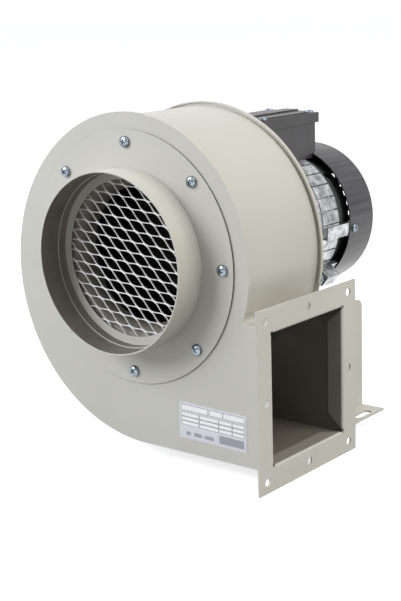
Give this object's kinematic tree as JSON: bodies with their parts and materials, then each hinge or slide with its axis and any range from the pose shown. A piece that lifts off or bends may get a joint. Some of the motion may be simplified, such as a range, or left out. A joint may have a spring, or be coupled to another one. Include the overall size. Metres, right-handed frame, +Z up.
{
  "type": "industrial centrifugal blower",
  "caption": "Centrifugal blower: scroll casing with guarded round inlet spigot, flanged rectangular outlet, forward-curved impeller and flange-mounted motor on two bracket feet.",
  "frame": {"origin": "on the shaft axis, at the front face of the inlet ring where the spigot starts", "axes": "+X the way the air leaves the outlet, +Y from the inlet towards the motor along the shaft, +Z up"},
  "size_m": [0.287, 0.3213, 0.3107],
  "materials": {
    "casing_paint": "semi-matt light grey paint on folded steel sheet",
    "mesh_paint": "light grey paint on expanded metal",
    "impeller_paint": "black dip paint on steel sheet",
    "motor_paint": "dark grey gloss paint, slightly streaked",
    "dark_casting": "dark grey matt paint on a casting",
    "cast_alloy": "as-cast aluminium with a rough skin",
    "zinc": "bright zinc plating",
    "steel": "ground or turned steel",
    "copper": "enamelled copper wire under varnish",
    "brass": "bare brass",
    "label": "satin foil, bare of words",
    "seal_rubber": "matt black rubber",
    "black_plastic": "matt black moulded plastic",
    "capacitor_case": "pale moulded plastic can"
  },
  "bodies": {
    "blower": {"front_plate": "casing_paint", "rear_plate": "casing_paint", "scroll_wrap": "casing_paint", "outlet_flange": "casing_paint", "inlet_ring": "casing_paint", "inlet_spigot": "casing_paint", "guard_frame": "casing_paint", "guard_mesh": "mesh_paint", "inlet_cone": "casing_paint", "inlet_screws": "zinc", "inlet_nuts": "zinc", "rating_label": "label", "foot_right": "casing_paint", "foot_left": "casing_paint", "foot_bolts": "zinc", "foot_nuts": "zinc", "motor_screws": "zinc", "motor_washers": "zinc", "front_shield": "cast_alloy", "front_bearing_outer": "steel", "front_bearing_balls": "steel", "motor_frame": "cast_alloy", "stator_core": "steel", "stator_winding": "copper", "rear_bearing_outer": "steel", "rear_bearing_balls": "steel", "wave_washer": "steel", "rear_shield": "dark_casting", "shield_screws_front": "zinc", "shield_screws_rear": "zinc", "earth_bolt": "zinc", "fan_cowl": "motor_paint", "cowl_screws": "zinc", "box_body": "motor_paint", "box_gasket": "seal_rubber", "box_lid": "motor_paint", "lid_screws": "zinc", "box_screws": "zinc", "terminal_block": "black_plastic", "terminal_studs": "brass", "run_capacitor": "capacitor_case", "capacitor_clip": "zinc", "cable_gland": "black_plastic", "gland_nuts": "black_plastic"},
    "rotor": {"impeller_disc": "impeller_paint", "impeller_ring": "impeller_paint", "impeller_blades": "impeller_paint", "impeller_hub": "steel", "hub_rivets": "steel", "end_bolt": "zinc", "shaft_key": "steel", "motor_shaft": "steel", "shaft_seal": "seal_rubber", "front_bearing_inner": "steel", "rear_bearing_inner": "steel", "rotor_core": "steel", "rotor_cage": "cast_alloy", "cooling_fan": "black_plastic", "fan_circlip": "steel"}
  },
  "joints": [
    {"name": "rotor_spin", "type": "hinge", "parent": "blower", "child": "rotor", "pos_m": [0, 0, 0], "axis": [0, -1, 0], "continuous": true}
  ]
}
